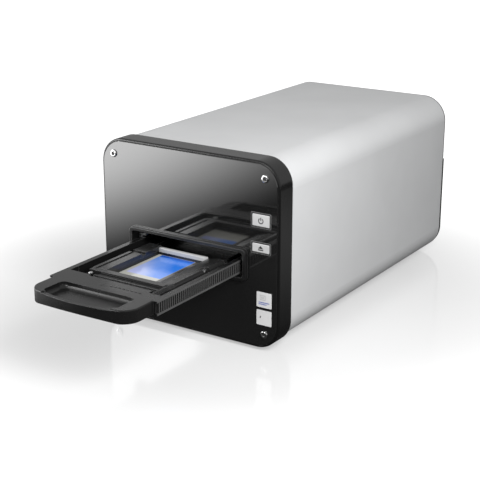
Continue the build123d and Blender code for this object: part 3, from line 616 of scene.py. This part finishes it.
def cornerPieces(name, template, look, slot, node):
    # four copies of a template at the corners that the CAD node's own box gives
    low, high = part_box(node)
    centre = (low + high) / 2
    across = high.x - low.x - look["width"] * mm
    along = (high.z - low.z if look["upright"] else high.y - low.y) - look["width"] * mm
    if look["upright"]:
        centre.y = look["level"]
    else:
        centre.z = look["level"]
    master = bpy.data.objects.new(name + "Template", template)
    bpy.context.scene.collection.objects.link(master)
    mesh = grown(fourCorners, name, {"Template": master, "Across": across, "Along": along,
                                     "Tilt": (math.pi / 2 if look["upright"] else 0.0, 0.0, 0.0),
                                     "Centre": centre, "Finish": finishes[slot]})
    bpy.data.objects.remove(master)
    newPiece(name, mesh, slot, "case", [node])


def socketPoint(angle, radius, height, kind):
    # a hexagon's flats lie at the radius, and its corners reach further
    if kind == "hexagon":
        radius = radius / math.cos(math.radians((math.degrees(angle) % 60.0) - 30.0))
    return roundY(angle, radius, height)


# a low round head with a hexagon socket that faces forward, with its shank behind
plateScrewLook = {"width": 7.8, "upright": True, "level": plateFace, "profile": [
    (0.0, 14.0, "round"), (2.0, 14.0, "round"), (2.0, 0.0, "round"), (3.9, 0.0, "round"),
    (3.9, -0.5, "round"), (3.75, -0.95, "round"), (3.3, -1.33, "round"), (2.7, -1.5, "round"),
    (1.95, -1.5, "hexagon"), (1.8, -1.38, "hexagon"), (1.8, -0.25, "hexagon"), (0.0, -0.05, "round")]}
cornerPieces("plateScrews", meshFrom(lathe(plateScrewLook["profile"], socketPoint), "socketHead", 35.0),
             plateScrewLook, "screw_steel", "plate_screws")
# a black lining inside each steel socket, painted shade where the hollow falls dark
socketShadeLining = dict(plateScrewLook, profile=[
    (0.0, 0.5, "round"), (1.82, 0.5, "hexagon"), (1.82, -1.0, "hexagon"), (0.0, -0.9, "round")])
cornerPieces("plateScrewSockets", meshFrom(lathe(socketShadeLining["profile"], socketPoint), "socketHead", 35.0),
             socketShadeLining, "chip_black", "plate_screws")


def crossPoint(angle, radius, height, dip, armWidth=0.20):
    # the head is pressed in by the dip along the arms of a cross
    share = max(0.0, (abs(math.cos(2 * angle)) - (1.0 - armWidth)) / armWidth)
    return roundY(angle, radius, height - dip * share)


# a pan head with a cross recess that faces backward; each row is radius, height and dip
rearScrewLook = {"width": 7.2, "upright": True, "level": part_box("rear_screws")[1].y - 2.0 * mm, "profile": [
    (0.0, -24.0, 0.0), (1.6, -24.0, 0.0), (1.6, 0.0, 0.0), (3.6, 0.0, 0.0), (3.6, 1.2, 0.0), (3.4, 1.6, 0.0),
    (3.0, 1.88, 0.0), (2.3, 2.0, 0.0), (2.1, 1.98, 0.5), (1.4, 1.95, 0.9), (0.7, 1.8, 0.8), (0.0, 0.9, 0.0)]}
cornerPieces("rearScrews", meshFrom(lathe(rearScrewLook["profile"], crossPoint), "crossHead", 50.0),
             rearScrewLook, "screw_steel", "rear_screws")

feetLook = {"width": 18.8, "upright": False, "level": 0.0, "profile": [
    (3.2, 3.6), (3.2, 0.25), (3.5, 0.0), (7.2, 0.0), (8.0, 0.25), (8.5, 0.9), (9.3, 3.4), (9.3, 4.0),
    (1.6, 4.0), (1.6, 3.6), (3.2, 3.6)]}
cornerPieces("softFeet", meshFrom(lathe(feetLook["profile"], roundZ), "footRing", 30.0), feetLook,
             "foot_rubber", "rubber_feet")
print("screws and feet made")

hingeLook = {"across": 47.0, "rise": 82.8}
hingeAxis = at(hingeLook["across"], 0.0, hingeLook["rise"])
knobLook = {"count": 9, "radius": 3.25, "first": -10.0, "sweep": 190.0, "bar": (0.5, 8.6, 0.62),
            "middle": -93.2}
padLook = {"count": 6, "radius": 3.55, "first": 28.0, "sweep": 124.0, "bar": (0.5, 16.6, 0.62),
           "middle": -107.9}


def barrelRibs(name, look, slot, body):
    # grip ribs round the part of the hinge that a finger turns or holds
    centre = Vector((hingeAxis.x, at(0, look["middle"], 0).y, hingeAxis.z))
    mesh = grown(roundRibs, name, {
        "Count": look["count"], "Radius": look["radius"] * mm, "First angle": math.radians(look["first"]),
        "Sweep": math.radians(look["sweep"]), "Bar": Vector(look["bar"]) * mm, "Centre": centre,
        "Finish": finishes[slot]})
    newPiece(name, mesh, slot, body)


barrelRibs("hingeKnobRibs", knobLook, "cover_black", "holder_cover")
barrelRibs("hingePadRibs", padLook, "holder_black", "film_holder")


def hingeBushing(look):
    # a bright ring on the hinge pin, in the gap between two knuckles
    build = lathe(look["profile"], roundY, look["steps"])
    place = Vector((hingeAxis.x, at(0, look["front"], 0).y, hingeAxis.z))
    bmesh.ops.translate(build, verts=build.verts, vec=place)
    newPiece("hingeBushing", meshFrom(build, "hingeBushing"), "screw_steel", "film_holder")


hingeBushing({"front": -42.7, "steps": 40, "profile": [
    (1.5, 0.0), (2.5, 0.0), (2.75, 0.3), (2.75, 3.3), (2.5, 3.6), (1.5, 3.6), (1.5, 0.0)]})


def deckMarks(look):
    # a plain arrow that shows which way the holder goes in, and a row of raised dashes beside it
    build = bmesh.new()
    top, bottom = look["top"], look["top"] - look["sunk"]
    x, y = look["arrow"]
    head, stem, foot = look["headHalf"], look["stemHalf"], y - look["stemLong"]
    outline = [(x - head, y), (x, y + look["headLong"]), (x + head, y), (x + stem, y), (x + stem, foot),
               (x - stem, foot), (x - stem, y)]
    rings = [[build.verts.new(at(px, py, z)) for px, py in outline] for z in (bottom, top)]
    build.faces.new(rings[1])
    build.faces.new(rings[0][::-1])
    joinRings(build, rings)
    newPiece("deckArrow", meshFrom(build, "deckArrow", 20.0), "holder_black", "film_holder")
    wide, long = look["dash"]
    tall = look["sunk"] + look["proud"]
    mesh = grown(rowOfBars, "deckDashes", {
        "Count": look["dashes"], "Step": Vector((look["pitch"] * mm, 0.0, 0.0)),
        "Bar": Vector((wide, long, tall)) * mm,
        "First": at(look["firstDash"], y, top + look["proud"] - tall / 2),
        "Finish": finishes["holder_black"]})
    newPiece("deckDashes", mesh, "holder_black", "film_holder")


deckMarks({"top": 86.16, "sunk": 0.4, "arrow": (-6.0, -122.5), "headHalf": 3.2, "headLong": 4.4,
           "stemHalf": 1.1, "stemLong": 4.0, "dash": (2.4, 0.9), "proud": 0.2, "dashes": 8, "pitch": 4.6,
           "firstDash": 4.0})
print("film holder dressed")

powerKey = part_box("power_button")
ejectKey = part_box("eject_button")
inkLook = {"colour": grey(0.012), "roughness": 0.4, "grain": 3000.0, "depth": 0.0, "edge": 0.0001,
           "wearAndHighlight": 1.0, "dust": 900.0, "dustAmount": 0.0}
finishes["ink_dark"] = moulded("ink_dark", inkLook)
finishes["ink_blue"] = moulded("ink_blue", dict(inkLook, colour=(0.10, 0.13, 0.34, 1.0)))
finishes["ink_grey"] = moulded("ink_grey", dict(inkLook, colour=grey(0.30)))


def inked(name, build, ink, slot, body):
    # a thin print in its own ink
    mesh = meshFrom(build, name, 20.0)
    mesh.materials.append(finishes[ink])
    newPiece(name, mesh, slot, body)


def rectangle(x0, x1, z0, z1):
    return [(x0, z0), (x1, z0), (x1, z1), (x0, z1)]


def powerSymbol(look):
    # an open ring with a stroke in its gap
    build = bmesh.new()
    x, z = look["centre"]
    front, back = look["front"], look["front"] + look["depth"]
    arcBand(build, (x, z), look["radius"], look["line"], *look["arc"], front, back)
    half = look["line"] / 2
    foot, tip = look["stroke"]
    flatShape(build, rectangle(x - half, x + half, z + foot, z + look["radius"] + tip), front, back)
    inked("powerSymbol", build, "ink_dark", "button_silver", "power_key")


def ejectSymbol(look):
    # a triangle over a bar
    build = bmesh.new()
    x, z = look["centre"]
    front, back = look["front"], look["front"] + look["depth"]
    half, bar = look["half"], look["bar"]
    flatShape(build, [(x - half, z), (x + half, z), (x, z + half)], front, back)
    barTop = z - look["gap"]
    flatShape(build, rectangle(x - half, x + half, barTop - bar, barTop), front, back)
    inked("ejectSymbol", build, "ink_dark", "button_silver", "eject_key")


printProud = 0.03  # how far a print stands out of its surface
powerFace = (powerKey[0].y - plateFace) / mm
ejectFace = (ejectKey[0].y - plateFace) / mm
powerSymbol({"centre": (84.7, 128.9), "radius": 2.5, "line": 1.0, "arc": (122.0, 296.0), "stroke": (0.3, 0.9),
             "front": powerFace - printProud, "depth": 0.1})
ejectSymbol({"centre": (84.7, 101.6), "half": 2.9, "bar": 1.1, "gap": 0.7, "front": ejectFace - printProud,
             "depth": 0.1})


def labelPrints(look):
    # bars and two frames, one in the other, on the upper label, and a slanted mark on the lower one
    front, back = look["front"], look["front"] + look["depth"]
    x, z = look["upper"]
    left = x - look["barInset"]
    build = bmesh.new()
    for width, rise in look["bars"]:
        flatShape(build, rectangle(left, left + width, z + rise, z + rise + look["barTall"]), front, back)
    inked("upperLabelBars", build, "ink_blue", "label_white", "case")
    build = bmesh.new()
    line, (outer, inner) = look["frameLine"], look["frameCorners"]
    middle = (x + look["frameShift"][0], z + look["frameShift"][1])
    for half, tall in look["frames"]:
        rings = loopStack(build, middle, [(half, tall, outer, back), (half, tall, outer, front),
                                          (half - line, tall - line, inner, front),
                                          (half - line, tall - line, inner, back)])
        joinRings(build, [rings[-1], rings[0]])
    inked("upperLabelFrames", build, "ink_grey", "label_white", "case")
    x, z = look["lower"]
    build = bmesh.new()
    flatShape(build, [(x + across, z + rise) for across, rise in look["mark"]], front, back)
    inked("lowerLabelMark", build, "ink_dark", "label_white", "case")


labelFace = (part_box("upper_label")[0].y - plateFace) / mm
labelPrints({"upper": (88.6, 50.8), "lower": (88.6, 32.6), "front": labelFace - printProud, "depth": 0.08,
             "bars": [(12.0, -3.2), (9.0, -4.9)], "barInset": 6.0, "barTall": 0.9,
             "frames": [(3.1, 2.4), (1.5, 0.9)], "frameShift": (-1.5, 2.2), "frameLine": 0.45,
             "frameCorners": (0.5, 0.3), "mark": [(-4.7, -0.6), (-3.7, -0.6), (-3.2, 1.4), (-4.2, 1.4)]})


def buttonTrim(name, node, look):
    # a thin grey line round a button's frame, paler than the black frame as a painted highlight on its outer
    # edge
    low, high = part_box(node)
    half = ((high.x - low.x) / 2 / mm, (high.z - low.z) / 2 / mm)
    centre = ((high.x + low.x) / 2 / mm, ((high.z + low.z) / 2 - bezelFoot) / mm)
    front = (low.y - plateFace) / mm
    face = front - look["proud"]
    line, bevel, lap = look["line"], look["bevel"], look["lap"]
    outer, edge, inner = look["corners"]
    loops = [(line, outer, 0.0), (line, outer, face + bevel), (line - bevel, edge, face), (-lap, inner, face),
             (-lap, inner, 0.0)]
    build = bmesh.new()
    rings = loopStack(build, centre, [(half[0] + out, half[1] + out, corner, depth)
                                      for out, corner, depth in loops])
    joinRings(build, [rings[-1], rings[0]])
    mesh = meshFrom(build, name, 30.0)
    mesh.materials.append(finishes["trim_highlight_grey"])
    newPiece(name, mesh, "collar_black", "case")


# the trim is painted grey over the black frame, a painted highlight on the frame's outer edge
finishes["trim_highlight_grey"] = moulded("trim_highlight_grey", {
    "colour": grey(0.16), "roughness": 0.3, "grain": 4000.0, "depth": 0.03, "edge": 0.0001, "wearAndHighlight": 1.5,
    "dust": 700.0, "dustAmount": 0.0, "metallic": 0.5})
trimLook = {"line": 0.35, "proud": 0.05, "bevel": 0.1, "lap": 0.05, "corners": (1.4, 1.3, 1.15)}
buttonTrim("powerTrim", "power_button_frame", trimLook)
buttonTrim("ejectTrim", "eject_button_frame", trimLook)
print("buttons and labels marked")


def eyeRays(tree, path):
    # 1 for what the camera sees directly or through glass
    return mathNode(tree, "MAXIMUM", path.outputs["Is Camera Ray"], path.outputs["Is Transmission Ray"])


def makeFloor(look):
    # white to the eye far off, with the object's real shadow and painted shade in the glow near it, and a
    # faint mirror image
    # the pools are bright areas that only mirror images show, each a centre, two distances and a strength
    size = look["size"]
    corners = [(-size, -size, 0), (size, -size, 0), (size, size, 0), (-size, size, 0)]
    mesh = bpy.data.meshes.new("floor")
    mesh.from_pydata(corners, [], [(0, 1, 2, 3)])
    floor = bpy.data.objects.new("floor", mesh)
    bpy.context.scene.collection.objects.link(floor)
    material, tree, shader = newFinish("floorPaper")
    shader.inputs["Base Color"].default_value = grey(look["paper"])
    shader.inputs["Roughness"].default_value = look["roughness"]
    shader.inputs["IOR"].default_value = look["ior"]
    shader.inputs["Emission Color"].default_value = grey(1.0)
    path = addNode(tree, "ShaderNodeLightPath")
    eye = eyeRays(tree, path)
    place = addNode(tree, "ShaderNodeTexCoord").outputs["Object"]
    away = addNode(tree, "ShaderNodeVectorMath", {0: place}, operation="LENGTH").outputs["Value"]
    # the glow the camera sees is weaker near the object: painted shade round it that fades out with distance
    paintedShadeGlow = spread(tree, away, *look["fade"], *look["paintedShadeGlow"], True)
    tree.links.new(mathNode(tree, "MULTIPLY", eye, paintedShadeGlow), shader.inputs["Emission Strength"])
    level = look["glossyLow"]
    for centre, near, far, strength in look["pools"]:
        gap = addNode(tree, "ShaderNodeVectorMath", {0: place, 1: Vector(centre)}, operation="DISTANCE")
        pool = spread(tree, gap.outputs["Value"], near, far, strength, 0.0, True)
        level = mathNode(tree, "ADD", level, pool)
    mirrored = addNode(tree, "ShaderNodeEmission", {"Strength": level})
    both = addNode(tree, "ShaderNodeMixShader", {0: path.outputs["Is Glossy Ray"], 1: shader.outputs[0],
                                                 2: mirrored.outputs[0]})
    tree.links.new(both.outputs[0], tree.nodes["Material Output"].inputs["Surface"])
    mesh.materials.append(material)


def makeWorld(look):
    # white to the eye and through glass, softer as a reflection and as light
    world = bpy.data.worlds.new("studio")
    world.use_nodes = True
    bpy.context.scene.world = world
    tree = world.node_tree
    path = addNode(tree, "ShaderNodeLightPath")
    eye = eyeRays(tree, path)
    seen = mathNode(tree, "MULTIPLY", eye, 1.0 - look["ambient"])
    mirrored = mathNode(tree, "MULTIPLY", path.outputs["Is Glossy Ray"], look["glossy"] - look["ambient"])
    total = mathNode(tree, "ADD", mathNode(tree, "ADD", seen, mirrored), look["ambient"])
    tree.links.new(total, tree.nodes["Background"].inputs["Strength"])
    tree.nodes["Background"].inputs["Color"].default_value = grey(1.0)


def addLamp(name, look):
    # a soft box at its place that faces its target
    lamp = bpy.data.lights.new(name, "AREA")
    lamp.shape = "RECTANGLE"
    lamp.size, lamp.size_y = look["size"]
    lamp.energy = look["power"]
    lampObject = bpy.data.objects.new(name, lamp)
    bpy.context.scene.collection.objects.link(lampObject)
    lampObject.location = Vector(look["place"])
    away = Vector(look["place"]) - Vector(look["target"])
    lampObject.rotation_euler = away.to_track_quat("Z", "Y").to_euler()
    lampObject.visible_glossy = look["glare"]


def addCamera(look):
    camera = bpy.data.cameras.new("viewpoint")
    camera.lens = look["lens"]
    camera.sensor_width = look["sensor"]
    camera.clip_start = look["nearest"]
    cameraObject = bpy.data.objects.new("viewpoint", camera)
    bpy.context.scene.collection.objects.link(cameraObject)
    cameraObject.location = Vector(look["place"])
    cameraObject.rotation_euler = (-Vector(look["forward"])).to_track_quat("Z", "Y").to_euler()
    bpy.context.scene.camera = cameraObject


addCamera({"place": (0.6450, -0.9912, 0.4595), "forward": (-0.5209, 0.7943, -0.3127), "lens": 88.82,
           "sensor": 36.0, "nearest": 0.01})
makeFloor({"size": 4.0, "paper": 0.3, "roughness": 0.12, "ior": 1.6, "paintedShadeGlow": (0.43, 0.95),
           "fade": (0.2, 0.52), "glossyLow": 0.03,
           "pools": [((-1.2, -0.5, 0.0), 0.65, 1.05, 3.6), ((0.45, 0.15, 0.0), 0.05, 0.42, 0.35)]})
makeWorld({"ambient": 0.3, "glossy": 0.5})
lamps = {
    # the near one fills the side without a glare on the top
    "nearBox": {"place": (0.55, -0.35, 0.5), "target": (0.1, -0.1, 0.12), "size": (0.35, 0.35), "power": 9.5,
                "glare": False},
    "leftBox": {"place": (-1.2, -0.7, 0.7), "target": (0.0, -0.1, 0.08), "size": (0.8, 1.0), "power": 9.0,
                "glare": True},
    "lowLeftBox": {"place": (-0.7, -0.8, 0.35), "target": (0.0, -0.2, 0.08), "size": (0.35, 0.35),
                   "power": 2.8, "glare": True},
    "frontBox": {"place": (-0.2, -1.2, 0.5), "target": (0.0, -0.2, 0.08), "size": (0.5, 0.3), "power": 4.0,
                 "glare": True},
}
for name, look in lamps.items():
    addLamp(name, look)
bpy.context.scene.view_settings.view_transform = "Standard"
print("stage set:", len(lamps), "lamps")
